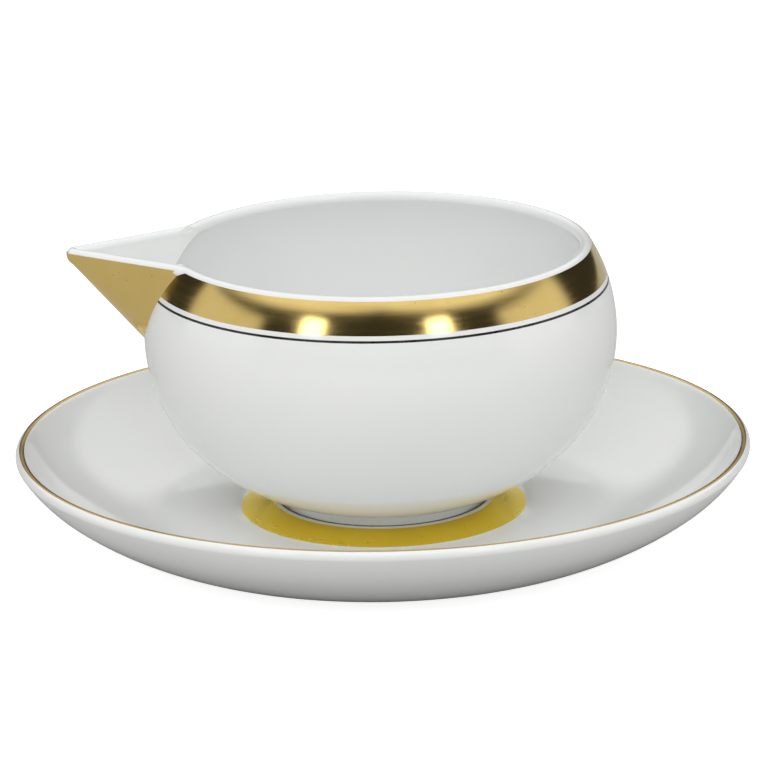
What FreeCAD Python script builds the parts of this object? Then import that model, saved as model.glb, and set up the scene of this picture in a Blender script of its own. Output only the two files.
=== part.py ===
"""Gravy boat standing in the raised seat of its own saucer, glazed porcelain with gold and black bands.

Frame: millimetres, +Z up, origin on the common axis at the table, the spout pointing to -X.
Two loose castings (boat, saucer); every fired-on band is a thin layer let into its casting.
"""
import FreeCAD, Part
import math
import os

import Sketcher
from FreeCAD import Vector

# ---------------------------------------------------------------- driving sizes

SIZES = {
    # saucer
    "saucer_radius": 92.5,            # widest point, over the lip
    "saucer_height": 24.5,            # table to the top of the lip
    "saucer_wall": 3.0,               # wall at the flank; the lip is a full round of this width
    "saucer_flank_radius": 34.7,      # outer curve under the lip
    "saucer_sweep_radius": 73.0,      # outer curve below the flank
    "saucer_turn_radius": 15.0,       # outer curve that levels out beside the foot
    "saucer_lip_angle": 32.5,         # outer wall from upright, just under the lip
    "saucer_flank_angle": 52.9,       # outer wall from upright, where the flank ends
    "saucer_sweep_angle": 73.7,       # outer wall from upright, where the long curve ends
    "saucer_floor_level": 6.6,        # top of the dish's floor at its outer edge
    "saucer_foot_setback": 2.2,       # end of the outer curve to the outside of the foot ring
    "saucer_foot_width": 4.0,
    "saucer_recess_level": 2.8,       # underside inside the foot ring
    "foot_edge_round": 0.6,           # small rounds of both foot rings
    # raised seat in the middle of the saucer
    "well_depth": 1.5,                # the boat's foot stands this deep in the seat
    "well_clearance": 0.5,            # all round the boat's foot
    "seat_top_width": 1.5,            # level rim round the well
    "seat_top_level": 9.5,
    "seat_shoulder_width": 9.0,       # sloping shoulder round the level rim
    "seat_base_level": 7.0,
    # boat
    "boat_height": 67.3,              # its own foot to the top of its lip
    "belly_height": 44.65,            # its own foot to its widest level
    "belly_radius": 59.2,
    "boat_wall": 3.0,
    "shoulder_radius": 41.35,         # outer curve above the belly
    "flank_radius": 40.84,            # outer curve below the belly
    "flank_sweep": 49.8,              # degrees of that curve
    "bottom_radius": 52.15,           # outer curve that closes the bottom
    "boat_foot_radius": 25.3,         # outside of the foot ring
    "boat_foot_width": 3.6,
    "lip_bead": 0.05,                 # how much the lip swells over the wall
    # spout
    "spout_overhang": 21.1,           # belly to where the spout's two sides would meet
    "spout_half_angle": 33.9,         # each side to the middle line, seen from above
    "spout_keel_setback": 1.55,       # from there back to where the keel would meet the lip
    "spout_keel_slope": 1.11,         # fall of the keel for each step towards the bowl
    "spout_tip_round": 1.6,           # lip's middle line round the tip
    "spout_nose_radius": 3.0,         # ball of the nose under the tip
    "spout_nose_start": 2.55,         # keel's upper end to the spout's first section
    "spout_root_share": 0.7,          # spout's last section, as a share of the belly's radius
    "channel_start": 6.0,             # keel's upper end to the channel's first section
    "channel_root_share": 0.6,        # channel's last section, as a share of the belly's radius
    "spout_corner_round": 13.5,       # lip's middle line where spout and bowl meet
    "channel_mouth_round": 14.0,      # inside edge between channel and bowl
    "corner_web_radius": 1.0,         # bare web under the lip where band and spout gold meet
    # fired-on layers
    "layer_depth": 0.15,
    "rim_line_depth": 0.3,            # the saucer's rim line pools thicker on the round lip
    "band_top_drop": 1.1,             # lip's top to the upper edge of the gold band
    "band_bottom_drop": 8.35,
    "spout_gold_drop": 0.42,          # lip's middle line to the upper edge of the gold
    "boat_line_drop": 9.45,           # lip's top to the upper edge of the black line
    "boat_line_width": 0.55,
    "rim_line_out_angle": 20.0,       # on the saucer's round lip, from its top outwards
    "rim_line_in_angle": 28.0,        # and from its top inwards
    "seat_ring_inset": 0.3,           # shoulder's foot to the gold ring
    "seat_ring_width": 8.0,
    "seat_line_inset": 0.4,           # edge of the level rim to the black line
    "seat_line_width": 0.6,
}

# ---------------------------------------------------------------- the document


def make_sheet(doc):
    """Put every size into the spreadsheet, name beside number."""
    sheet = doc.addObject("Spreadsheet::Sheet", "Sizes")
    for row, (name, value) in enumerate(SIZES.items(), start=1):
        sheet.set(f"A{row}", name)
        sheet.set(f"B{row}", str(value))
        sheet.setAlias(f"B{row}", name)
    doc.recompute()
    return sheet


def size(text):
    """Expression text with every size name pointed at the sheet."""
    words = []
    word = ""
    for char in text + " ":
        if char.isalnum() or char == "_":
            word += char
            continue
        words.append(f"Sizes.{word}" if word in SIZES else word)
        words.append(char)
        word = ""
    return "".join(words).strip()


def value(obj, text):
    """Number an expression has now."""
    return float(obj.evalExpression(size(text)))


def cosd(angle):
    return f"cos(({angle}) * 1 deg)"


def sind(angle):
    return f"sin(({angle}) * 1 deg)"


# ---------------------------------------------------------------- shared geometry, as expressions

# saucer: the lip is a full round about (lip_x, lip_z); the walls are arcs about one centre
LIP_HALF = "(saucer_wall / 2)"
LIP_X = f"(saucer_radius - {LIP_HALF})"
LIP_Z = f"(saucer_height - {LIP_HALF})"
FLANK_X = f"({LIP_X} - (saucer_flank_radius - {LIP_HALF}) * {cosd('saucer_lip_angle')})"
FLANK_Z = f"({LIP_Z} + (saucer_flank_radius - {LIP_HALF}) * {sind('saucer_lip_angle')})"


def flank_point(radius, angle):
    """Point of the saucer's flank curves, by radius and wall angle from upright."""
    return f"{FLANK_X} + ({radius}) * {cosd(angle)}", f"{FLANK_Z} - ({radius}) * {sind(angle)}"


# saucer's seat, from the well outwards
WELL_X = "(boat_foot_radius + well_clearance)"
SEAT_TOP_X = f"({WELL_X} + seat_top_width)"
SEAT_BASE_X = f"({SEAT_TOP_X} + seat_shoulder_width)"

# boat: base of its foot, centres of the wall curves, middle of its lip
BOAT_BASE = "(seat_top_level - well_depth)"
BELLY_Z = f"({BOAT_BASE} + belly_height)"
SHOULDER_X = "(belly_radius - shoulder_radius)"
LOWER_X = "(belly_radius - flank_radius)"
BOTTOM_X = f"({LOWER_X} + (flank_radius - bottom_radius) * {cosd('flank_sweep')})"
BOTTOM_Z = f"({BELLY_Z} - (flank_radius - bottom_radius) * {sind('flank_sweep')})"
RIM_Z = f"({BOAT_BASE} + boat_height - boat_wall / 2)"
RIM_SINE = f"(({RIM_Z} - {BELLY_Z}) / (shoulder_radius - boat_wall / 2))"
SPOUT_REACH = "(belly_radius + spout_overhang)"
KEEL_REACH = f"({SPOUT_REACH} - spout_keel_setback)"
NOSE_X = f"(spout_nose_radius / {sind('spout_half_angle')} - {SPOUT_REACH})"
RIM_X = f"({SHOULDER_X} + (shoulder_radius - boat_wall / 2) * sqrt(1 - {RIM_SINE}^2))"


def shoulder_x(depth, level):
    """Radius of the boat's upper wall, `depth` inside its outer face, at a level."""
    return f"{SHOULDER_X} + sqrt((shoulder_radius - {depth})^2 - ({level} - {BELLY_Z})^2)"


# level of the upper edge of the spout's gold; along the spout's side, from where both sides would
# meet to the bowl's wall at that level
GOLD_TOP_Z = f"({RIM_Z} - spout_gold_drop)"
CREASE_RADIUS = f"({shoulder_x('0', GOLD_TOP_Z)})"
CREASE_RUN = (f"({SPOUT_REACH} * {cosd('spout_half_angle')}"
              f" - sqrt({CREASE_RADIUS}^2 - ({SPOUT_REACH} * {sind('spout_half_angle')})^2))")


def bottom_z(radius, depth="0"):
    """Level of the boat's lowest wall curve at a radius."""
    return f"{BOTTOM_Z} - sqrt((bottom_radius - {depth})^2 - ({radius} - {BOTTOM_X})^2)"


# ---------------------------------------------------------------- sketches


def origin_plane(body, role):
    for feature in body.Origin.OriginFeatures:
        if feature.Role == role:
            return feature
    raise RuntimeError(f"no {role} in {body.Label}")


def new_body(doc, label):
    body = doc.addObject("PartDesign::Body", label)
    body.Label = label
    return body


def new_sketch(body, name, role):
    sketch = body.newObject("Sketcher::SketchObject", name)
    sketch.AttachmentSupport = (origin_plane(body, role), "")
    sketch.MapMode = "FlatFace"
    return sketch


def fix_coordinate(sketch, kind, index, end, text):
    """Hold one coordinate of a point: on the origin's line when it is nil, else by a bound distance."""
    if text == "0":
        lined_up = "Vertical" if kind == "DistanceX" else "Horizontal"
        sketch.addConstraint(Sketcher.Constraint(lined_up, -1, 1, index, end))
        return
    now = value(sketch, text)
    number = sketch.addConstraint(Sketcher.Constraint(kind, -1, 1, index, end, now))
    sketch.setExpression(f"Constraints[{number}]", size(text))


def arc_through(start, end, radius, centre_left):
    """Arc of a radius between two points; centre_left tells which side its centre is on."""
    chord = end - start
    middle = (start + end) * 0.5
    rise = math.sqrt(max(radius**2 - (chord.Length / 2) ** 2, 0.0))
    side = Vector(-chord.y, chord.x, 0).normalize()
    centre = middle + side * (rise if centre_left else -rise)
    circle = Part.Circle(centre, Vector(0, 0, 1), radius)
    if not centre_left:
        start, end = end, start
    first, last = circle.parameter(start), circle.parameter(end)
    if last < first + 1e-9:
        last += 2 * math.pi
    ends = (1, 2) if centre_left else (2, 1)
    return Part.ArcOfCircle(circle, first, last), *ends


def draw_outline(sketch, corners):
    """Closed outline. Each corner is (x, z, how the side after it runs): None for a straight side,
    (radius, "left" or "right") for an arc with its centre on that side."""
    points = [Vector(value(sketch, x), value(sketch, z), 0) for x, z, _ in corners]
    ends = []
    for number, (_, _, bend) in enumerate(corners):
        start, end = points[number], points[(number + 1) % len(points)]
        if bend is None:
            index = sketch.addGeometry(Part.LineSegment(start, end))
            ends.append((index, 1, 2))
            continue
        radius, side = bend
        arc, first, last = arc_through(start, end, value(sketch, radius), side == "left")
        index = sketch.addGeometry(arc)
        ends.append((index, first, last))
        held = sketch.addConstraint(Sketcher.Constraint("Radius", index, value(sketch, radius)))
        sketch.setExpression(f"Constraints[{held}]", size(radius))
    for number, (index, _, last) in enumerate(ends):
        following, first, _ = ends[(number + 1) % len(ends)]
        sketch.addConstraint(Sketcher.Constraint("Coincident", index, last, following, first))
    for (index, first, _), (x, z, _) in zip(ends, corners):
        fix_coordinate(sketch, "DistanceX", index, first, x)
        fix_coordinate(sketch, "DistanceY", index, first, z)


def turn(body, name, corners, cut=False):
    """Revolution (or Groove) of an outline in the XZ plane about the vertical axis."""
    sketch = new_sketch(body, f"{name}_outline", "XZ_Plane")
    draw_outline(sketch, corners)
    feature = body.newObject("PartDesign::Groove" if cut else "PartDesign::Revolution", name)
    feature.Profile = sketch
    feature.ReferenceAxis = (sketch, ["V_Axis"])
    feature.Angle = 360
    body.Document.recompute()
    return feature


def turned_body(doc, label, corners):
    body = new_body(doc, label)
    turn(body, f"{label}_turned", corners)
    return body


def round_circles(body, name, radius, wanted):
    """Fillet the turned edges for which wanted(edge radius, level) holds."""
    base = body.Tip
    names = []
    for number, edge in enumerate(base.Shape.Edges, start=1):
        if isinstance(edge.Curve, Part.Circle) and wanted(edge.Curve.Radius, edge.Curve.Center.z):
            names.append(f"Edge{number}")
    fillet = body.newObject("PartDesign::Fillet", name)
    fillet.Base = (base, names)
    fillet.setExpression("Radius", size(radius))
    body.Document.recompute()
    return fillet


def near(first, second):
    return abs(first - second) < 0.01


# ---------------------------------------------------------------- saucer


def saucer_outline():
    lip_out = flank_point("saucer_flank_radius", "saucer_lip_angle")
    lip_in = flank_point("saucer_flank_radius - saucer_wall", "saucer_lip_angle")
    flank_out = flank_point("saucer_flank_radius", "saucer_flank_angle")
    flank_in = flank_point("saucer_flank_radius - saucer_wall", "saucer_flank_angle")
    sweep_x = f"{flank_out[0]} - saucer_sweep_radius * {cosd('saucer_flank_angle')}"
    sweep_z = f"{flank_out[1]} + saucer_sweep_radius * {sind('saucer_flank_angle')}"
    sweep_end = (f"{sweep_x} + saucer_sweep_radius * {cosd('saucer_sweep_angle')}",
                 f"{sweep_z} - saucer_sweep_radius * {sind('saucer_sweep_angle')}")
    turn_end = (f"{sweep_end[0]} - saucer_turn_radius * {cosd('saucer_sweep_angle')}",
                f"{sweep_end[1]} - saucer_turn_radius * (1 - {sind('saucer_sweep_angle')})")
    # the inside curve below the flank runs out level at the floor
    dish = f"(({flank_in[1]} - saucer_floor_level) / (1 - {sind('saucer_flank_angle')}))"
    foot_out = f"{turn_end[0]} - saucer_foot_setback"
    foot_in = f"{foot_out} - saucer_foot_width"
    return [
        ("0", "saucer_recess_level", None),
        (foot_in, "saucer_recess_level", None),
        (foot_in, "0", None),
        (foot_out, "0", None),
        (foot_out, turn_end[1], None),
        (*turn_end, ("saucer_turn_radius", "left")),
        (*sweep_end, ("saucer_sweep_radius", "left")),
        (*flank_out, ("saucer_flank_radius", "left")),
        (*lip_out, (LIP_HALF, "left")),
        (f"{LIP_X} + {LIP_HALF} * {sind('saucer_lip_angle')}",
         f"{LIP_Z} + {LIP_HALF} * {cosd('saucer_lip_angle')}", (LIP_HALF, "left")),
        (*lip_in, ("saucer_flank_radius - saucer_wall", "right")),
        (*flank_in, (dish, "right")),
        (f"{flank_in[0]} - {dish} * {cosd('saucer_flank_angle')}", "saucer_floor_level", None),
        (SEAT_BASE_X, "seat_base_level", None),
        (SEAT_TOP_X, "seat_top_level", None),
        (WELL_X, "seat_top_level", None),
        (WELL_X, BOAT_BASE, None),
        ("0", BOAT_BASE, None),
    ]


def rim_line_outline():
    """Gold line over the top of the saucer's round lip, each curve in three equal parts."""
    deep = f"({LIP_HALF} - rim_line_depth)"
    part = "(rim_line_out_angle + rim_line_in_angle) / 3"
    turns = [f"(rim_line_out_angle - {count} * {part})" for count in range(4)]

    def point(radius, angle, curve):
        return (f"{LIP_X} + {radius} * {sind(angle)}", f"{LIP_Z} + {radius} * {cosd(angle)}", curve)

    return [
        *(point(LIP_HALF, angle, (LIP_HALF, "left")) for angle in turns[:-1]),
        point(LIP_HALF, turns[-1], None),
        *(point(deep, angle, (deep, "right")) for angle in turns[:0:-1]),
        point(deep, turns[0], None),
    ]


def seat_ring_outline():
    """Gold ring on the sloping shoulder of the seat."""
    slope = "((seat_top_level - seat_base_level) / seat_shoulder_width)"
    outer_x = f"{SEAT_BASE_X} - seat_ring_inset"
    inner_x = f"{outer_x} - seat_ring_width"
    outer_z = f"seat_base_level + seat_ring_inset * {slope}"
    inner_z = f"seat_base_level + (seat_ring_inset + seat_ring_width) * {slope}"
    return [
        (outer_x, outer_z, None),
        (inner_x, inner_z, None),
        (inner_x, f"{inner_z} - layer_depth", None),
        (outer_x, f"{outer_z} - layer_depth", None),
    ]


def seat_line_outline():
    """Black line on the level top of the seat."""
    outer = f"{SEAT_TOP_X} - seat_line_inset"
    inner = f"{outer} - seat_line_width"
    return [
        (outer, "seat_top_level", None),
        (inner, "seat_top_level", None),
        (inner, "seat_top_level - layer_depth", None),
        (outer, "seat_top_level - layer_depth", None),
    ]


SAUCER_LAYERS = {
    "saucer_rim_gold_line": rim_line_outline,
    "saucer_seat_gold_ring": seat_ring_outline,
    "saucer_seat_black_line": seat_line_outline,
}


def build_saucer(doc):
    """The saucer with a groove for each layer, and the layers themselves."""
    outline = saucer_outline()
    body = turned_body(doc, "saucer_body", outline)
    foot_in, foot_out = (value(doc.Sizes, x) for x, z, _ in outline[2:4])
    round_circles(body, "saucer_foot_round", "foot_edge_round",
                  lambda radius, z: near(z, 0) and (near(radius, foot_out) or near(radius, foot_in)))
    layers = []
    for label, layer_outline in SAUCER_LAYERS.items():
        turn(body, f"{label}_groove", layer_outline(), cut=True)
        layers.append(turned_body(doc, label, layer_outline()))
    return [body, *layers]


# ---------------------------------------------------------------- boat: turned forms


def bowl_outline():
    """Outside of the bowl and its foot; the top follows the line through the lip's middle."""
    foot_in = "boat_foot_radius - boat_foot_width"
    return [
        ("0", bottom_z(BOTTOM_X), None),
        (BOTTOM_X, bottom_z(BOTTOM_X), ("bottom_radius", "left")),
        (foot_in, bottom_z(foot_in), None),
        (foot_in, BOAT_BASE, None),
        ("boat_foot_radius", BOAT_BASE, None),
        ("boat_foot_radius", bottom_z("boat_foot_radius"), ("bottom_radius", "left")),
        (f"{LOWER_X} + flank_radius * {cosd('flank_sweep')}",
         f"{BELLY_Z} - flank_radius * {sind('flank_sweep')}", ("flank_radius", "left")),
        ("belly_radius", BELLY_Z, ("shoulder_radius", "left")),
        (f"{SHOULDER_X} + shoulder_radius * sqrt(1 - {RIM_SINE}^2)",
         f"{BELLY_Z} + shoulder_radius * {RIM_SINE}", None),
        (SHOULDER_X, BELLY_Z, None),
        ("0", BELLY_Z, None),
    ]


def cavity_outline():
    """Inside of the bowl, carried on above the lip."""
    level = f"{RIM_Z} + boat_wall"
    inner = "(bottom_radius - boat_wall)"
    return [
        ("0", f"{BOTTOM_Z} - {inner}", None),
        (BOTTOM_X, f"{BOTTOM_Z} - {inner}", (inner, "left")),
        (f"{LOWER_X} + (flank_radius - boat_wall) * {cosd('flank_sweep')}",
         f"{BELLY_Z} - (flank_radius - boat_wall) * {sind('flank_sweep')}",
         ("flank_radius - boat_wall", "left")),
        ("belly_radius - boat_wall", BELLY_Z, ("shoulder_radius - boat_wall", "left")),
        (shoulder_x("boat_wall", level), level, None),
        ("0", level, None),
    ]


def shoulder_plug_outline():
    """Everything inside the wall's outer face, from the belly to the lip's middle."""
    return [
        ("0", BELLY_Z, None),
        ("belly_radius", BELLY_Z, ("shoulder_radius", "left")),
        (shoulder_x("0", RIM_Z), RIM_Z, None),
        ("0", RIM_Z, None),
    ]


def wall_layer_outline(top, bottom):
    """Thin layer on the boat's upper wall between two levels."""
    return [
        (shoulder_x("0", bottom), bottom, ("shoulder_radius", "left")),
        (shoulder_x("0", top), top, None),
        (shoulder_x("layer_depth", top), top, ("shoulder_radius - layer_depth", "right")),
        (shoulder_x("layer_depth", bottom), bottom, None),
    ]


# ---------------------------------------------------------------- boat: spout forms


def half_ellipse(body, name, station, inset):
    """Upright half ellipse across the spout at x = station, `inset` inside the outer face."""
    sketch = new_sketch(body, name, "YZ_Plane")
    sketch.setExpression("AttachmentOffset.Base.z", size(station))
    run = f"({SPOUT_REACH} + ({station})) * tan(spout_half_angle * 1 deg)"
    half_width = f"({run} - ({inset}) / cos(spout_half_angle * 1 deg))"
    slant = "sqrt(1 + spout_keel_slope^2)"
    depth = f"(({KEEL_REACH} + ({station})) * spout_keel_slope - ({inset}) * {slant})"
    level, wide, deep = value(sketch, RIM_Z), value(sketch, half_width), value(sketch, depth)
    centre, side, keel = Vector(0, level, 0), Vector(wide, level, 0), Vector(0, level - deep, 0)
    upright = deep > wide
    ellipse = Part.Ellipse(keel, side, centre) if upright else Part.Ellipse(side, keel, centre)
    first = -math.pi / 2 if upright else math.pi
    arc = sketch.addGeometry(Part.ArcOfEllipse(ellipse, first, first + math.pi))
    top = sketch.addGeometry(Part.LineSegment(Vector(-wide, level, 0), side))
    sketch.addConstraint(Sketcher.Constraint("Coincident", top, 1, arc, 1))
    sketch.addConstraint(Sketcher.Constraint("Coincident", top, 2, arc, 2))
    sketch.addConstraint(Sketcher.Constraint("Horizontal", top))
    sketch.addConstraint(Sketcher.Constraint("PointOnObject", arc, 3, -2))
    sketch.addConstraint(Sketcher.Constraint("PointOnObject", arc, 3, top))
    fix_coordinate(sketch, "DistanceY", arc, 3, RIM_Z)
    fix_coordinate(sketch, "DistanceX", top, 2, half_width)
    point = sketch.addGeometry(Part.Point(keel), True)
    sketch.addConstraint(Sketcher.Constraint("PointOnObject", point, 1, arc))
    sketch.addConstraint(Sketcher.Constraint("PointOnObject", point, 1, -2))
    fix_coordinate(sketch, "DistanceY", point, 1, f"({RIM_Z} - {depth})")
    return sketch


def spout_form(doc, name, inset, small, large):
    """Tapering form under the lip's middle line, with upright half-elliptical sections."""
    body = new_body(doc, name)
    start = half_ellipse(body, f"{name}_small", small, inset)
    end = half_ellipse(body, f"{name}_large", large, inset)
    doc.recompute()
    loft = body.newObject("PartDesign::AdditiveLoft", f"{name}_loft")
    loft.Profile = start
    loft.Sections = [end]
    loft.Ruled = True
    doc.recompute()
    return body


def with_nose(doc, name, form, radius):
    """A spout form with the lower half of a ball as its nose."""
    ball = doc.addObject("Part::Sphere", f"{name}_nose")
    ball.setExpression("Radius", size(radius))
    ball.setExpression("Placement.Base.x", size(NOSE_X))
    ball.setExpression("Placement.Base.z", size(RIM_Z))
    ball.Angle1 = -90
    ball.Angle2 = 0
    return joined(doc, "Part::MultiFuse", name, [form, ball])


def above_box(doc, name, level):
    """Block over the whole spout from a level up."""
    box = doc.addObject("Part::Box", name)
    box.setExpression("Length", size(SPOUT_REACH))
    box.setExpression("Width", size("4 * belly_radius"))
    box.setExpression("Height", size("boat_height"))
    box.setExpression("Placement.Base.x", size(f"-{SPOUT_REACH}"))
    box.setExpression("Placement.Base.y", size("-2 * belly_radius"))
    box.setExpression("Placement.Base.z", size(level))
    doc.recompute()
    return box


def corner_web(doc, name, side):
    """Ball about the upper end of the crease between spout and bowl."""
    ball = doc.addObject("Part::Sphere", name)
    ball.setExpression("Radius", "Sizes.corner_web_radius")
    along = f"{CREASE_RUN} * {cosd('spout_half_angle')}"
    beside = f"{CREASE_RUN} * {sind('spout_half_angle')}"
    ball.setExpression("Placement.Base.x", size(f"{along} - {SPOUT_REACH}"))
    ball.setExpression("Placement.Base.y", size(f"{side} * {beside}"))
    ball.setExpression("Placement.Base.z", size(GOLD_TOP_Z))
    doc.recompute()
    return ball


def over_spout(doc, name, inset, small, large):
    """Upright prism over a spout form, from the lip's middle line up."""
    body = new_body(doc, name)
    sketch = new_sketch(body, f"{name}_plan", "XY_Plane")
    sketch.setExpression("AttachmentOffset.Base.z", size(RIM_Z))
    corners = []
    for station in (small, large):
        run = f"({SPOUT_REACH} + ({station})) * tan(spout_half_angle * 1 deg)"
        half_width = f"({run} - ({inset}) / cos(spout_half_angle * 1 deg))"
        corners.append((station, half_width))
    (small_x, small_y), (large_x, large_y) = corners
    draw_outline(sketch, [(small_x, f"-{small_y}", None), (large_x, f"-{large_y}", None),
                          (large_x, large_y, None), (small_x, small_y, None)])
    pad = body.newObject("PartDesign::Pad", f"{name}_pad")
    pad.Profile = sketch
    pad.setExpression("Length", size("boat_wall"))
    doc.recompute()
    return body


def lip_path(doc):
    """Middle line of the lip: round the bowl, round each corner, along the spout, round its tip."""
    body = new_body(doc, "lip_path")
    sketch = new_sketch(body, "lip_middle_line", "XY_Plane")
    sketch.setExpression("AttachmentOffset.Base.z", size(RIM_Z))
    rim = value(sketch, RIM_X)
    corner = value(sketch, "spout_corner_round")
    tip = value(sketch, "spout_tip_round")
    angle = math.radians(value(sketch, "spout_half_angle"))
    reach = value(sketch, f"{SPOUT_REACH} - boat_wall / 2 / {sind('spout_half_angle')}")
    along = Vector(math.cos(angle), math.sin(angle), 0)
    outward = Vector(-math.sin(angle), math.cos(angle), 0)
    apex = Vector(-reach, 0, 0)
    # corner centre: one corner radius outside the spout's side and outside the rim circle
    start = apex + outward * corner
    dot = start.dot(along)
    step = -dot - math.sqrt(dot**2 - start.Length**2 + (rim + corner) ** 2)
    corner_centre = start + along * step
    on_rim = corner_centre * (rim / (rim + corner))
    on_side = corner_centre - outward * corner
    tip_centre = Vector(-reach + tip / math.sin(angle), 0, 0)
    at_tip = tip_centre + outward * tip

    def mirrored(point):
        return Vector(point.x, -point.y, 0)

    def arc(centre, radius, first, last):
        circle = Part.Circle(centre, Vector(0, 0, 1), radius)
        return Part.ArcOfCircle(circle, circle.parameter(first), circle.parameter(last))

    rim_start = Vector(rim, 0, 0)
    pieces = [
        (arc(Vector(), rim, rim_start, on_rim), 1, 2),
        (arc(corner_centre, corner, on_side, on_rim), 2, 1),
        (Part.LineSegment(on_side, at_tip), 1, 2),
        (arc(tip_centre, tip, at_tip, mirrored(at_tip)), 1, 2),
        (Part.LineSegment(mirrored(at_tip), mirrored(on_side)), 1, 2),
        (arc(mirrored(corner_centre), corner, mirrored(on_rim), mirrored(on_side)), 2, 1),
        (arc(Vector(), rim, mirrored(on_rim), rim_start), 1, 2),
    ]
    ends = [(sketch.addGeometry(piece), first, last) for piece, first, last in pieces]
    for number in range(6):
        (index, _, last), (following, first, _) = ends[number], ends[number + 1]
        sketch.addConstraint(Sketcher.Constraint("Tangent", index, last, following, first))
    sketch.addConstraint(Sketcher.Constraint("Coincident", ends[6][0], 2, ends[0][0], 1))
    sketch.addConstraint(Sketcher.Constraint("Coincident", ends[0][0], 3, -1, 1))
    sketch.addConstraint(Sketcher.Constraint("Coincident", ends[6][0], 3, -1, 1))
    sketch.addConstraint(Sketcher.Constraint("PointOnObject", ends[0][0], 1, -1))
    sketch.addConstraint(Sketcher.Constraint("PointOnObject", ends[3][0], 3, -1))
    sketch.addConstraint(Sketcher.Constraint("Equal", ends[1][0], ends[5][0]))
    rounds = ((ends[0][0], RIM_X), (ends[1][0], "spout_corner_round"), (ends[3][0], "spout_tip_round"))
    for index, text in rounds:
        held = sketch.addConstraint(Sketcher.Constraint("Radius", index, value(sketch, text)))
        sketch.setExpression(f"Constraints[{held}]", size(text))
    tip_x = f"(boat_wall / 2 + spout_tip_round) / {sind('spout_half_angle')} - {SPOUT_REACH}"
    fix_coordinate(sketch, "DistanceX", ends[3][0], 3, tip_x)
    for first, second in (((-1, 1), (ends[2][0], 2)), ((ends[4][0], 1), (-1, 1))):
        held = sketch.addConstraint(Sketcher.Constraint("Angle", *first, *second, angle))
        sketch.setExpression(f"Constraints[{held}]", size("spout_half_angle * 1 deg"))
    doc.recompute()
    return sketch


def lip_form(doc):
    """Round lip swept along its closed middle line."""
    path = lip_path(doc).Shape.Wires[0]
    start = Vector(value(doc.Sizes, RIM_X), 0, value(doc.Sizes, RIM_Z))
    radius = value(doc.Sizes, "boat_wall / 2 + lip_bead")
    section = Part.Wire([Part.Circle(start, Vector(0, 1, 0), radius).toShape()])
    lip = doc.addObject("Part::Feature", "lip_form")
    lip.Shape = path.makePipeShell([section], True, True)
    lip.Placement = FreeCAD.Placement()
    return lip


# ---------------------------------------------------------------- boat: putting it together


def joined(doc, kind, label, pieces):
    """Part::MultiFuse of several objects, or Part::Cut of the second from the first."""
    obj = doc.addObject(kind, label)
    obj.Label = label
    if kind == "Part::MultiFuse":
        obj.Shapes = pieces
    else:
        obj.Base, obj.Tool = pieces
    doc.recompute()
    return obj


def rounded_mouth(doc, form):
    """The hollow with its edge rounded where the channel breaks into the bowl."""
    rim = value(form, RIM_X)
    numbers = []
    for number, edge in enumerate(form.Shape.Edges, start=1):
        kinds = {face.Surface.TypeId for face in form.Shape.ancestorsOfType(edge, Part.Face)}
        turned = "Part::GeomSurfaceOfRevolution" in kinds and len(kinds) == 2
        middle = edge.valueAt((edge.FirstParameter + edge.LastParameter) / 2)
        on_top = near(middle.z, form.Shape.BoundBox.ZMax)
        if turned and middle.x < -rim / 2 and not on_top:
            numbers.append(number)
    if len(numbers) != 3:
        raise RuntimeError(f"the channel's mouth has {len(numbers)} edges")
    fillet = doc.addObject("Part::Fillet", "hollow_rounded")
    fillet.Base = form
    radius = value(form, "channel_mouth_round")
    fillet.Edges = [(number, radius, radius) for number in numbers]
    doc.recompute()
    return fillet


def build_boat(doc):
    """The boat and its three layers."""
    bowl = turned_body(doc, "bowl_form", bowl_outline())
    foot_out = value(doc.Sizes, "boat_foot_radius")
    foot_in = value(doc.Sizes, "boat_foot_radius - boat_foot_width")
    base = value(doc.Sizes, BOAT_BASE)
    round_circles(bowl, "boat_foot_round", "foot_edge_round",
                  lambda radius, z: near(z, base) and (near(radius, foot_out) or near(radius, foot_in)))
    ends = (f"spout_nose_start - {KEEL_REACH}", "-spout_root_share * belly_radius")
    outer = spout_form(doc, "spout_outer_form", "0", *ends)
    spout = with_nose(doc, "spout_outside", outer, "spout_nose_radius")
    inner = spout_form(doc, "spout_core_form", "layer_depth", *ends)
    core = with_nose(doc, "spout_core", inner, "spout_nose_radius - layer_depth")
    mouth = (f"channel_start - {KEEL_REACH}", "-channel_root_share * belly_radius")
    channel = spout_form(doc, "channel_inside", "boat_wall", *mouth)
    opening = over_spout(doc, "channel_opening", "boat_wall", *mouth)
    cavity = turned_body(doc, "cavity_form", cavity_outline())
    hollow = joined(doc, "Part::MultiFuse", "hollow_sharp", [cavity, channel, opening])
    solid = joined(doc, "Part::MultiFuse", "boat_outside", [bowl, spout])
    walls = joined(doc, "Part::Cut", "boat_walls", [solid, rounded_mouth(doc, hollow)])
    whole = joined(doc, "Part::MultiFuse", "boat_whole", [walls, lip_form(doc)])
    return walls_and_layers(doc, whole, bowl, spout, core, over_spout(doc, "over_spout", "0", *ends))


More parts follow.
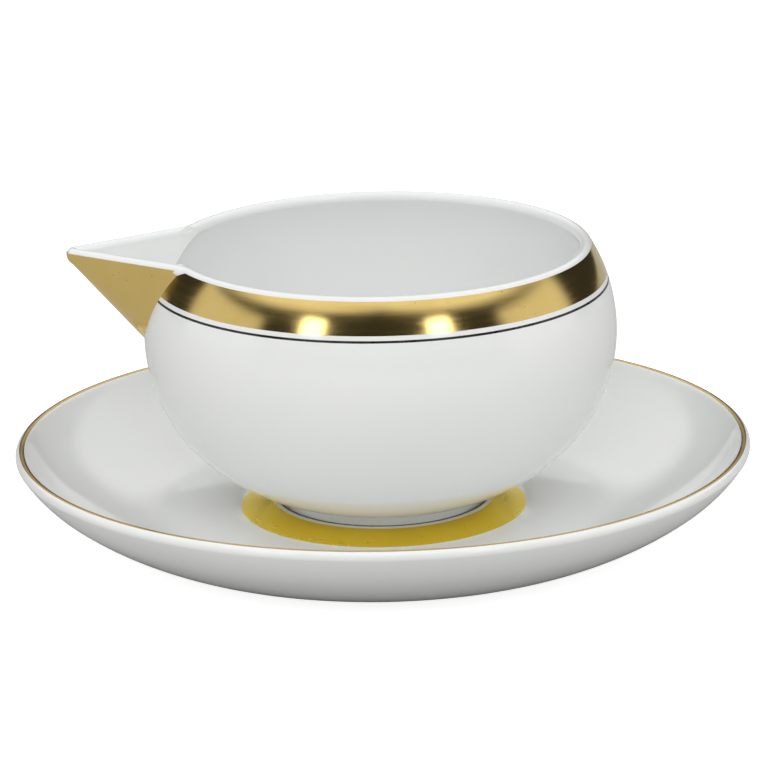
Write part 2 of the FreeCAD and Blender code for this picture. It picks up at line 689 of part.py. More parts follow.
def walls_and_layers(doc, whole, bowl, spout, core, prism):
    """Cut the fired-on layers from their places and the grooves for them from the boat."""
    top = f"({RIM_Z} + boat_wall / 2)"
    line_top = f"({top} - boat_line_drop)"
    band_outline = wall_layer_outline(f"({top} - band_top_drop)", f"({top} - band_bottom_drop)")
    band_ring = turned_body(doc, "band_ring", band_outline)
    line_outline = wall_layer_outline(line_top, f"({line_top} - boat_line_width)")
    line_ring = turned_body(doc, "line_ring", line_outline)
    spout_up = joined(doc, "Part::MultiFuse", "spout_carried_up", [spout, prism])
    webs = joined(doc, "Part::MultiFuse", "corner_webs",
                  [corner_web(doc, "corner_web_right", 1), corner_web(doc, "corner_web_left", -1)])
    band_round = joined(doc, "Part::Cut", "band_beside_spout", [band_ring, spout_up])
    band = joined(doc, "Part::Cut", "boat_gold_band", [band_round, webs])
    line = joined(doc, "Part::Cut", "boat_black_line", [line_ring, spout])
    spout_shell = joined(doc, "Part::Cut", "spout_shell", [spout, core])
    spout_end = joined(doc, "Part::Cut", "spout_outer_skin", [spout_shell, bowl])
    plug = turned_body(doc, "shoulder_plug", shoulder_plug_outline())
    spout_skin = joined(doc, "Part::Cut", "spout_skin", [spout_end, plug])
    over = above_box(doc, "over_the_gold", GOLD_TOP_Z)
    gold_below = joined(doc, "Part::Cut", "gold_below_lip", [spout_skin, over])
    gold = joined(doc, "Part::Cut", "boat_spout_gold", [gold_below, webs])
    layers = joined(doc, "Part::MultiFuse", "boat_layers", [band, line, gold])
    body = joined(doc, "Part::Cut", "boat_body", [whole, layers])
    return [body, band, line, gold]


# ---------------------------------------------------------------- checks and files


def check(doc, nodes):
    """Stop before anything is written if a feature failed or a node isn't one sound solid."""
    for obj in doc.Objects:
        if "Invalid" in obj.State or "Error" in obj.State:
            raise RuntimeError(f"{obj.Label}: {obj.State}")
    for node in nodes:
        if node.Shape.isNull() or not node.Shape.isValid():
            raise RuntimeError(f"{node.Label}: shape is null or not valid")
        if len(node.Shape.Solids) != 1:
            raise RuntimeError(f"{node.Label}: {len(node.Shape.Solids)} solids")


def main():
    doc = FreeCAD.newDocument("gravy_boat")
    make_sheet(doc)
    nodes = build_saucer(doc) + build_boat(doc)
    doc.recompute()
    check(doc, nodes)
    os.makedirs("parts", exist_ok=True)
    for node in nodes:
        node.Shape.exportStep(f"parts/{node.Label}.step")


main()
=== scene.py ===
"""Gravy boat standing in the raised seat of its own saucer, in glazed porcelain with gold and black bands.

Everything is in metres in the CAD model's frame: +Z up, origin on the common axis at the table, spout to -X.
Sizes are written in millimetres and brought to metres by MM.
"""
import logging
import math
from dataclasses import dataclass, field
from enum import Enum
from typing import Any, Mapping, Optional

import bmesh
import bpy
from mathutils import Matrix, Vector


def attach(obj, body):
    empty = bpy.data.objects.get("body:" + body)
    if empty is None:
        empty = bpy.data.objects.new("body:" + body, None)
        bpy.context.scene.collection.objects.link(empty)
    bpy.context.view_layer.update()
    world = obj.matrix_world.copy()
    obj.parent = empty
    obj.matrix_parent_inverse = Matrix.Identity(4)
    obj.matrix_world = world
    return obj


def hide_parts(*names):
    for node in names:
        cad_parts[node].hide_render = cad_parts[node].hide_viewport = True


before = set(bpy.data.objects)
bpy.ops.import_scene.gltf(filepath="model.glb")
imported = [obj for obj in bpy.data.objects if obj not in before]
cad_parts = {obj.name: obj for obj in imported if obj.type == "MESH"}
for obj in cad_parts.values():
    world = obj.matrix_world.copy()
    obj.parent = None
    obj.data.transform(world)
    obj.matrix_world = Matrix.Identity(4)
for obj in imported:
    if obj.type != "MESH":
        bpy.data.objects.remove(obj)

LOG = logging.getLogger("gravy_boat")
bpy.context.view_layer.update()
MM = 0.001
UP = Vector((0.0, 0.0, 1.0))
ACROSS = Vector((0.0, 1.0, 0.0))
WELD = 1e-7                           # metres between points that are one point


class Body(Enum):
    """CAD bodies that a piece can ride on."""

    SAUCER = "saucer"
    BOAT = "boat"


class Slot(Enum):
    """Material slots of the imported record."""

    SAUCER_PORCELAIN = "saucer_porcelain"
    BOAT_PORCELAIN = "boat_porcelain"
    GOLD = "gold_lustre"
    BLACK = "black_enamel"


# ---------------------------------------------------------------- drawing and turning outlines


class Outline:
    """A pen in the XZ plane: straight runs extrude its last point, arcs spin it about a centre."""

    def __init__(self, x: float, z: float) -> None:
        """Start at a point.

        Args:
            x: Distance from the axis in millimetres.
            z: Level in millimetres.
        """
        self.mesh = bmesh.new()
        self.tip = bmesh.ops.create_vert(self.mesh, co=(x * MM, 0.0, z * MM))["vert"][0]

    def line(self, x: float, z: float, steps: int = 1) -> "Outline":
        """Run straight to a point.

        Args:
            x: Distance from the axis in millimetres.
            z: Level in millimetres.
            steps: How many edges the run is made of.

        Returns:
            The outline itself, so that runs can be chained.
        """
        run = (Vector((x * MM, 0.0, z * MM)) - self.tip.co) / steps
        for _ in range(steps):
            grown = bmesh.ops.extrude_vert_indiv(self.mesh, verts=[self.tip])
            self.tip = grown["verts"][0]
            bmesh.ops.translate(self.mesh, verts=[self.tip], vec=run)
        return self

    def arc(self, x: float, z: float, degrees: float, steps: int) -> "Outline":
        """Run round a centre.

        Args:
            x: Centre's distance from the axis in millimetres.
            z: Centre's level in millimetres.
            degrees: Turn about the Y axis; positive goes from +Z towards +X.
            steps: How many edges the arc is made of.

        Returns:
            The outline itself.
        """
        grown = bmesh.ops.spin(
            self.mesh, geom=[self.tip], cent=(x * MM, 0.0, z * MM), axis=ACROSS,
            angle=math.radians(degrees), steps=steps,
        )
        self.tip = next(part for part in grown["geom_last"] if isinstance(part, bmesh.types.BMVert))
        return self

    def turned(self, steps: int) -> bmesh.types.BMesh:
        """Spin the closed outline once round the Z axis.

        Args:
            steps: Divisions round the axis.

        Returns:
            The closed surface, its normals pointing outwards.
        """
        bmesh.ops.remove_doubles(self.mesh, verts=self.mesh.verts, dist=WELD)
        bmesh.ops.spin(
            self.mesh, geom=self.mesh.verts[:] + self.mesh.edges[:], cent=(0, 0, 0), axis=UP,
            angle=math.tau, steps=steps, use_merge=True,
        )
        bmesh.ops.remove_doubles(self.mesh, verts=self.mesh.verts, dist=WELD)
        bmesh.ops.recalc_face_normals(self.mesh, faces=self.mesh.faces)
        return self.mesh


class Rod:
    """A round rod drawn along a level path: arcs spin its end about a centre, straight runs extrude it."""

    def __init__(self, place: Vector, outwards: Vector, radius: float, segments: int) -> None:
        """Start with one upright ring.

        Args:
            place: The ring's middle in millimetres.
            outwards: Level direction across the path.
            radius: Half the rod's thickness in millimetres.
            segments: Edges round the rod.
        """
        self.mesh = bmesh.new()
        self.level = place.z
        ring = bmesh.ops.create_circle(self.mesh, segments=segments, radius=radius)["verts"]
        for vert in ring:
            vert.co = (place + outwards * vert.co.x + UP * vert.co.y) * MM
        self.end: list[Any] = list(self.mesh.edges) + ring

    def swing(self, middle: Vector, degrees: float, steps: int) -> None:
        """Carry the end round an upright axis.

        Args:
            middle: Where the axis stands, in millimetres.
            degrees: Turn, positive from +X towards +Y.
            steps: Rings that the turn is made of.
        """
        grown = bmesh.ops.spin(
            self.mesh, geom=self.end, cent=(middle + UP * self.level) * MM, axis=UP,
            angle=math.radians(degrees), steps=steps,
        )
        self.end = grown["geom_last"]

    def run(self, way: Vector, steps: int) -> None:
        """Carry the end straight on.

        Args:
            way: The whole run in millimetres.
            steps: Rings that the run is made of.
        """
        for _ in range(steps):
            edges = [part for part in self.end if isinstance(part, bmesh.types.BMEdge)]
            grown = bmesh.ops.extrude_edge_only(self.mesh, edges=edges)["geom"]
            verts = [part for part in grown if isinstance(part, bmesh.types.BMVert)]
            bmesh.ops.translate(self.mesh, verts=verts, vec=way * MM / steps)
            self.end = verts + [part for part in grown if isinstance(part, bmesh.types.BMEdge)
                                and all(vert in verts for vert in part.verts)]

    def closed(self) -> bmesh.types.BMesh:
        """Cap both ends and turn the faces outwards."""
        bmesh.ops.holes_fill(self.mesh, edges=[edge for edge in self.mesh.edges if edge.is_boundary])
        bmesh.ops.recalc_face_normals(self.mesh, faces=self.mesh.faces)
        return self.mesh


def piece(name: str, mesh: bmesh.types.BMesh, sharp: float = 32.0) -> bpy.types.Object:
    """Turn a finished bmesh into a smooth-shaded object at the origin.

    Args:
        name: Name of the new object.
        mesh: The bmesh, which is freed.
        sharp: Edges that turn by more than these degrees stay sharp.

    Returns:
        The new object, linked to the scene.
    """
    data = bpy.data.meshes.new(name)
    mesh.to_mesh(data)
    mesh.free()
    data.shade_smooth()
    data.set_sharp_from_angle(angle=math.radians(sharp))
    made = bpy.data.objects.new(name, data)
    bpy.context.scene.collection.objects.link(made)
    return made


def combined(mesh: bmesh.types.BMesh, *steps: tuple[str, bmesh.types.BMesh]) -> bmesh.types.BMesh:
    """Join solids to a solid, or cut them from it, one after the other.

    Args:
        mesh: The first solid, which is freed.
        steps: What each step does (UNION, DIFFERENCE or INTERSECT) and its solid, which is freed.

    Returns:
        The resulting closed mesh.
    """
    base = piece("combined", mesh)
    tools = []
    for operation, tool_mesh in steps:
        tool = piece("combined_with", tool_mesh)
        cut = base.modifiers.new(operation, "BOOLEAN")
        cut.operation, cut.object, cut.solver = operation, tool, "MANIFOLD"
        tools.append(tool)
    bpy.context.view_layer.update()
    whole = base.evaluated_get(bpy.context.evaluated_depsgraph_get())
    made = bmesh.new()
    made.from_mesh(whole.to_mesh())
    whole.to_mesh_clear()
    for used in (base, *tools):
        bpy.data.meshes.remove(used.data)
    bmesh.ops.remove_doubles(made, verts=made.verts, dist=2 * WELD)
    return made


# ---------------------------------------------------------------- nodes and colours


def colour(code: str) -> tuple[float, float, float, float]:
    """Linear colour of an sRGB hex value.

    Args:
        code: Six hex digits after a hash.

    Returns:
        Linear red, green, blue and an alpha of one.
    """
    shares = [int(code[start:start + 2], 16) / 255 for start in (1, 3, 5)]
    linear = [share / 12.92 if share <= 0.04045 else ((share + 0.055) / 1.055) ** 2.4 for share in shares]
    return (*linear, 1.0)


def add(
    tree: bpy.types.NodeTree, kind: str, inputs: Optional[Mapping[Any, Any]] = None, **settings: Any
) -> bpy.types.Node:
    """Add a node with its settings, its values and the links into it.

    Args:
        tree: Node tree that takes the node.
        kind: Type name of the node.
        inputs: Socket name or number to a value, or to the socket that feeds it.
        settings: Properties of the node itself.

    Returns:
        The new node.
    """
    node = tree.nodes.new(kind)
    for name, setting in settings.items():
        setattr(node, name, setting)
    for socket, value in (inputs or {}).items():
        if isinstance(value, bpy.types.NodeSocket):
            tree.links.new(value, node.inputs[socket])
        else:
            node.inputs[socket].default_value = value
    return node


def per_metre(size_mm: float) -> float:
    """Texture scale whose cells are about that many millimetres."""
    return 1.0 / (size_mm * MM)


def new_material(name: str) -> tuple[bpy.types.Material, bpy.types.NodeTree, bpy.types.NodeSocket]:
    """Start an empty material.

    Args:
        name: The material's name.

    Returns:
        The material, its node tree and its Object coordinates.
    """
    material = bpy.data.materials.new(name)
    material.use_nodes = True
    material.node_tree.nodes.clear()
    place = add(material.node_tree, "ShaderNodeTexCoord").outputs["Object"]
    return material, material.node_tree, place


def close_material(tree: bpy.types.NodeTree, shader: bpy.types.Node) -> None:
    """Wire a shader to the material's output."""
    add(tree, "ShaderNodeOutputMaterial", {"Surface": shader.outputs[0]})


# ---------------------------------------------------------------- finishes


@dataclass(frozen=True)
class GlazedPorcelain:
    """Hard-paste porcelain, cast and dipped in clear glaze: a clean cool white under a wet-looking skin.

    The eye sees an even white with a faint drift in tone, soft glass-like reflections that waver a little
    where the glaze has flowed, and the dull bare ring that was wiped clean for firing under the foot.
    """

    name: str
    bare_level: float                 # mm; below this level the foot ring is unglazed
    white: str = "#F0F1F0"
    drift: str = "#EAECEB"
    bare: str = "#DAD7CF"
    speck: str = "#B9B6AC"
    drift_size: float = 45.0          # mm across the clouds of tone
    flow_size: float = 14.0           # mm across the waves in the glaze
    speck_size: float = 7.0           # mm between the rare iron specks
    smear_size: float = 9.0           # mm across patches of duller glaze
    glaze_roughness: float = 0.07
    bare_roughness: float = 0.65

    def material(self) -> bpy.types.Material:
        """Build the glaze over the porcelain body."""
        material, tree, place = new_material(self.name)
        clouds = add(tree, "ShaderNodeTexNoise",
                     {"Vector": place, "Scale": per_metre(self.drift_size), "Detail": 2.0})
        tone = add(tree, "ShaderNodeMix", {"Factor": clouds.outputs["Fac"], "A": colour(self.white),
                                           "B": colour(self.drift)}, data_type="RGBA")
        tone = self._specks(tree, place, tone.outputs["Result"])
        height = add(tree, "ShaderNodeSeparateXYZ", {"Vector": place}).outputs["Z"]
        bare = add(tree, "ShaderNodeMapRange",
                   {"Value": height, "From Min": (self.bare_level + 0.05) * MM,
                    "From Max": self.bare_level * MM, "To Min": 0.0, "To Max": 1.0}).outputs["Result"]
        base = add(tree, "ShaderNodeMix", {"Factor": bare, "A": tone, "B": colour(self.bare)},
                   data_type="RGBA")
        smear = add(tree, "ShaderNodeTexNoise",
                    {"Vector": place, "Scale": per_metre(self.smear_size), "Detail": 3.0})
        gloss = add(tree, "ShaderNodeMapRange",
                    {"Value": smear.outputs["Fac"], "To Min": self.glaze_roughness - 0.02,
                     "To Max": self.glaze_roughness + 0.03})
        rough = add(tree, "ShaderNodeMix",
                    {"Factor": bare, "A": gloss.outputs["Result"], "B": self.bare_roughness})
        waves = add(tree, "ShaderNodeTexNoise",
                    {"Vector": place, "Scale": per_metre(self.flow_size), "Detail": 1.5})
        skin = add(tree, "ShaderNodeBump",
                   {"Height": waves.outputs["Fac"], "Strength": 0.12, "Distance": 0.1 * MM})
        shader = add(tree, "ShaderNodeBsdfPrincipled", {
            "Base Color": base.outputs["Result"], "Roughness": rough.outputs["Result"], "IOR": 1.5,
            "Normal": skin.outputs["Normal"], "Subsurface Weight": 0.06,
            "Subsurface Radius": (1.0, 0.9, 0.8), "Subsurface Scale": 0.0012,
        })
        close_material(tree, shader)
        return material

    def _specks(
        self, tree: bpy.types.NodeTree, place: bpy.types.NodeSocket, tone: bpy.types.NodeSocket
    ) -> bpy.types.NodeSocket:
        """Strew a few hair-fine iron specks under the glaze.

        Args:
            tree: Material's node tree.
            place: Object coordinates.
            tone: Colour without specks.

        Returns:
            Colour with specks.
        """
        cells = add(tree, "ShaderNodeTexVoronoi", {"Vector": place, "Scale": per_metre(self.speck_size)})
        near = add(tree, "ShaderNodeMapRange",
                   {"Value": cells.outputs["Distance"], "From Min": 0.02, "From Max": 0.012,
                    "To Min": 0.0, "To Max": 0.35})
        return add(tree, "ShaderNodeMix", {"Factor": near.outputs["Result"], "A": tone,
                                           "B": colour(self.speck)}, data_type="RGBA").outputs["Result"]


@dataclass(frozen=True)
class FiredGold:
    """Liquid gold, banded on with a brush and fired on the glaze: a bright warm metal skin.

    The eye sees soft mirror-like reflections, faint strokes running round the ware from the banding wheel,
    slightly duller patches, and tiny pinholes where dust sat in the kiln.
    """

    name: str
    bright: str
    deep: str
    roughness: float
    spread: float                     # how far the roughness drifts
    stroke_size: float = 0.9          # mm between brush strokes
    patch_size: float = 11.0          # mm across duller patches
    pinhole_size: float = 2.6         # mm between pinholes
    pinhole: str = "#4A3D1C"
    metal: float = 1.0                # less where glass frit between the grains scatters light

    def material(self) -> bpy.types.Material:
        """Build the gold skin."""
        material, tree, place = new_material(self.name)
        strokes_place = add(tree, "ShaderNodeMapping", {"Vector": place, "Scale": (0.05, 0.05, 1.0)})
        strokes = add(tree, "ShaderNodeTexNoise",
                      {"Vector": strokes_place.outputs["Vector"], "Scale": per_metre(self.stroke_size),
                       "Detail": 2.0})
        patches = add(tree, "ShaderNodeTexNoise",
                      {"Vector": place, "Scale": per_metre(self.patch_size), "Detail": 4.0})
        tone = add(tree, "ShaderNodeMix", {"Factor": patches.outputs["Fac"], "A": colour(self.bright),
                                           "B": colour(self.deep)}, data_type="RGBA")
        cells = add(tree, "ShaderNodeTexVoronoi", {"Vector": place, "Scale": per_metre(self.pinhole_size)})
        holes = add(tree, "ShaderNodeMapRange",
                    {"Value": cells.outputs["Distance"], "From Min": 0.065, "From Max": 0.035,
                     "To Min": 0.0, "To Max": 0.8})
        base = add(tree, "ShaderNodeMix", {"Factor": holes.outputs["Result"], "A": tone.outputs["Result"],
                                           "B": colour(self.pinhole)}, data_type="RGBA")
        both = add(tree, "ShaderNodeMath", {0: strokes.outputs["Fac"], 1: patches.outputs["Fac"]},
                   operation="MULTIPLY")
        rough = add(tree, "ShaderNodeMapRange",
                    {"Value": both.outputs["Value"], "From Min": 0.1, "From Max": 0.45,
                     "To Min": self.roughness - self.spread, "To Max": self.roughness + self.spread})
        relief = add(tree, "ShaderNodeBump",
                     {"Height": strokes.outputs["Fac"], "Strength": 0.05, "Distance": 0.02 * MM})
        shader = add(tree, "ShaderNodeBsdfPrincipled", {
            "Base Color": base.outputs["Result"], "Metallic": self.metal,
            "Roughness": rough.outputs["Result"], "Normal": relief.outputs["Normal"],
        })
        close_material(tree, shader)
        return material


@dataclass(frozen=True)
class BlackEnamel:
    """Black on-glaze enamel, drawn with a lining brush: a dense line that thins to brown where it ran dry."""

    name: str
    dense: str = "#1C1A18"
    thin: str = "#3A342D"
    run_size: float = 3.0             # mm between dry places

    def material(self) -> bpy.types.Material:
        """Build the enamel line's finish."""
        material, tree, place = new_material(self.name)
        dry = add(tree, "ShaderNodeTexNoise",
                  {"Vector": place, "Scale": per_metre(self.run_size), "Detail": 4.0})
        worn = add(tree, "ShaderNodeMapRange",
                   {"Value": dry.outputs["Fac"], "From Min": 0.5, "From Max": 0.75})
        tone = add(tree, "ShaderNodeMix", {"Factor": worn.outputs["Result"], "A": colour(self.dense),
                                           "B": colour(self.thin)}, data_type="RGBA")
        gloss = add(tree, "ShaderNodeMapRange",
                    {"Value": dry.outputs["Fac"], "To Min": 0.18, "To Max": 0.4})
        shader = add(tree, "ShaderNodeBsdfPrincipled", {
            "Base Color": tone.outputs["Result"], "Roughness": gloss.outputs["Result"], "IOR": 1.5,
        })
        close_material(tree, shader)
        return material


# bright gold on the boat mirrors the room; the seat's gold is burnished less and scatters part of the light
BRIGHT_GOLD = FiredGold("gold, liquid bright, banded and fired", "#F0D48C", "#E4C474", 0.15, 0.04)
SEAT_GOLD = FiredGold("gold, matt burnished, banded and fired", "#FFE34A", "#F6D63C", 0.3, 0.05, metal=0.7)
RIM_GOLD = FiredGold("gold, lined with a fine brush and fired", "#D8BC78", "#C2A562", 0.24, 0.05)
LINE_BLACK = BlackEnamel("enamel, black, lined and fired")
SAUCER_WHITE = GlazedPorcelain("porcelain, cast and glazed, saucer", 0.35)
BOAT_WHITE = GlazedPorcelain("porcelain, cast and glazed, boat", 8.35)


def dress(made: bpy.types.Object, material: bpy.types.Material, body: Body, slot: Slot, *nodes: str) -> None:
    """Give a piece its finish and its place in the assembly.

    Args:
        made: The finished piece.
        material: Its material.
        body: CAD body it moves with.
        slot: Record's slot its finish belongs to; not used.
        nodes: CAD nodes it stands for.
    """
    made.data.materials.clear()
    made.data.materials.append(material)
    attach(made, body.value)
    if nodes:
        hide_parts(*nodes)
    LOG.info("%s: %d faces, rides on %s", made.name, len(made.data.polygons), body.value)


# ---------------------------------------------------------------- saucer


@dataclass
class Saucer:
    """Deep saucer with a round lip, a foot ring and a raised seat with a shallow well for the boat."""

    lip_x: float = 91.0
    lip_z: float = 23.0
    lip_round: float = 1.5
    flank_x: float = 63.0             # centre of the flank's curves
    flank_z: float = 40.84
    flank_out: float = 34.7
    flank_in: float = 31.7
    lip_angle: float = 32.5           # wall from upright under the lip
    flank_angle: float = 52.9
    sweep_round: float = 73.0
    sweep_angle: float = 73.7
    turn_round: float = 15.0
    floor_z: float = 6.6
    foot_out: float = 54.0
    foot_in: float = 50.0
    foot_round: float = 0.6
    recess_z: float = 2.8
    seat_base: tuple[float, float] = (36.3, 7.0)
    seat_top: tuple[float, float] = (27.3, 9.5)
    well: tuple[float, float] = (25.8, 8.0)
    edge_round: float = 0.35          # soft glaze-filled edges of seat and well
    gold_ring: tuple[float, float] = (36.0, 28.0)
    black_line: tuple[float, float] = (26.95, 26.2)
    gold_line: tuple[float, float] = (20.0, 28.0)   # degrees outwards and inwards of the lip's top
    layer: float = 0.15
    proud: float = 0.02               # fired layers stand this much over the glaze
    steps: int = 288
    pieces: list[bpy.types.Object] = field(default_factory=list)

    def outline(self) -> Outline:
        """Draw the casting's section, from the axis under the foot round to the well."""
        turn = math.cos(math.radians(self.flank_angle))
        rise = math.sin(math.radians(self.flank_angle))
        dish = (self.flank_z - self.flank_in * rise - self.floor_z) / (1 - rise)
        sweep_x = self.flank_x + (self.flank_out - self.sweep_round) * turn
        sweep_z = self.flank_z - (self.flank_out - self.sweep_round) * rise
        steep, flat = math.cos(math.radians(self.sweep_angle)), math.sin(math.radians(self.sweep_angle))
        turn_x = sweep_x + (self.sweep_round - self.turn_round) * steep
        turn_z = sweep_z - (self.sweep_round - self.turn_round) * flat
        r = self.foot_round
        pen = Outline(0, self.recess_z)
        pen.line(self.foot_in, self.recess_z, 12)
        pen.line(self.foot_in, r)
        pen.arc(self.foot_in + r, r, -90, 5)
        pen.line(self.foot_out - r, 0)
        pen.arc(self.foot_out - r, r, -90, 5)
        pen.line(self.foot_out, turn_z - self.turn_round)
        pen.line(turn_x, turn_z - self.turn_round)
        pen.arc(turn_x, turn_z, -(90 - self.sweep_angle), 4)
        pen.arc(sweep_x, sweep_z, -(self.sweep_angle - self.flank_angle), 10)
        pen.arc(self.flank_x, self.flank_z, -(self.flank_angle - self.lip_angle), 8)
        pen.arc(self.lip_x, self.lip_z, -180, 24)
        pen.arc(self.flank_x, self.flank_z, self.flank_angle - self.lip_angle, 8)
        pen.arc(self.flank_x + (self.flank_in - dish) * turn, self.flank_z - (self.flank_in - dish) * rise,
                90 - self.flank_angle, 14)
        pen.line(*self.seat_base, 8)
        pen.line(*self.seat_top, 6)
        pen.line(self.well[0] + self.edge_round, self.seat_top[1])
        pen.arc(self.well[0] + self.edge_round, self.seat_top[1] - self.edge_round, -90, 4)
        pen.line(*self.well)
        pen.line(0, self.well[1], 8)
        return pen

    def ring(self, outer: tuple[float, float], inner: tuple[float, float]) -> Outline:
        """Section of a thin layer between two points of the seat.

        Args:
            outer: Outer point's distance from the axis and level.
            inner: Inner point's distance from the axis and level.

        Returns:
            The closed section, standing a hair proud of the glaze.
        """
        slope = Vector((inner[0] - outer[0], 0, inner[1] - outer[1])).normalized()
        lift = Vector((slope.z, 0, -slope.x))
        if lift.z < 0:
            lift = -lift
        corners = [
            Vector((*point, 0)).xzy + lift * depth
            for point, depth in ((outer, self.proud), (inner, self.proud), (inner, -self.layer),
                                 (outer, -self.layer))
        ]
        pen = Outline(corners[0].x, corners[0].z)
        for corner in (*corners[1:], corners[0]):
            pen.line(corner.x, corner.z)
        return pen

    def on_seat(self, distance: float) -> tuple[float, float]:
        """Point on the seat's shoulder or its level top."""
        if distance <= self.seat_top[0]:
            return distance, self.seat_top[1]
        share = (self.seat_base[0] - distance) / (self.seat_base[0] - self.seat_top[0])
        return distance, self.seat_base[1] + share * (self.seat_top[1] - self.seat_base[1])

    def lip_line(self) -> Outline:
        """Section of the gold line over the round lip."""
        outwards, inwards = self.gold_line
        top, deep = self.lip_round + self.proud, self.lip_round - self.layer
        turn = math.radians(outwards)
        pen = Outline(self.lip_x + top * math.sin(turn), self.lip_z + top * math.cos(turn))
        pen.arc(self.lip_x, self.lip_z, -(outwards + inwards), 12)
        turn = math.radians(inwards)
        pen.line(self.lip_x - deep * math.sin(turn), self.lip_z + deep * math.cos(turn))
        pen.arc(self.lip_x, self.lip_z, outwards + inwards, 12)
        turn = math.radians(outwards)
        pen.line(self.lip_x + top * math.sin(turn), self.lip_z + top * math.cos(turn))
        return pen

    def build(self) -> None:
        """Turn and dress the casting and its fired bands."""
        casting = piece("saucer_casting", self.outline().turned(self.steps))
        dress(casting, SAUCER_WHITE.material(), Body.SAUCER, Slot.SAUCER_PORCELAIN, "saucer_body")
        gold = piece("saucer_seat_gold", self.ring(*map(self.on_seat, self.gold_ring)).turned(self.steps))
        dress(gold, SEAT_GOLD.material(), Body.SAUCER, Slot.GOLD, "saucer_seat_gold_ring")
        line = piece("saucer_seat_line", self.ring(*map(self.on_seat, self.black_line)).turned(self.steps))
        dress(line, LINE_BLACK.material(), Body.SAUCER, Slot.BLACK, "saucer_seat_black_line")
        rim = piece("saucer_rim_gold", self.lip_line().turned(self.steps))
        dress(rim, RIM_GOLD.material(), Body.SAUCER, Slot.GOLD, "saucer_rim_gold_line")
        self.pieces = [casting, gold, line, rim]


# ---------------------------------------------------------------- boat


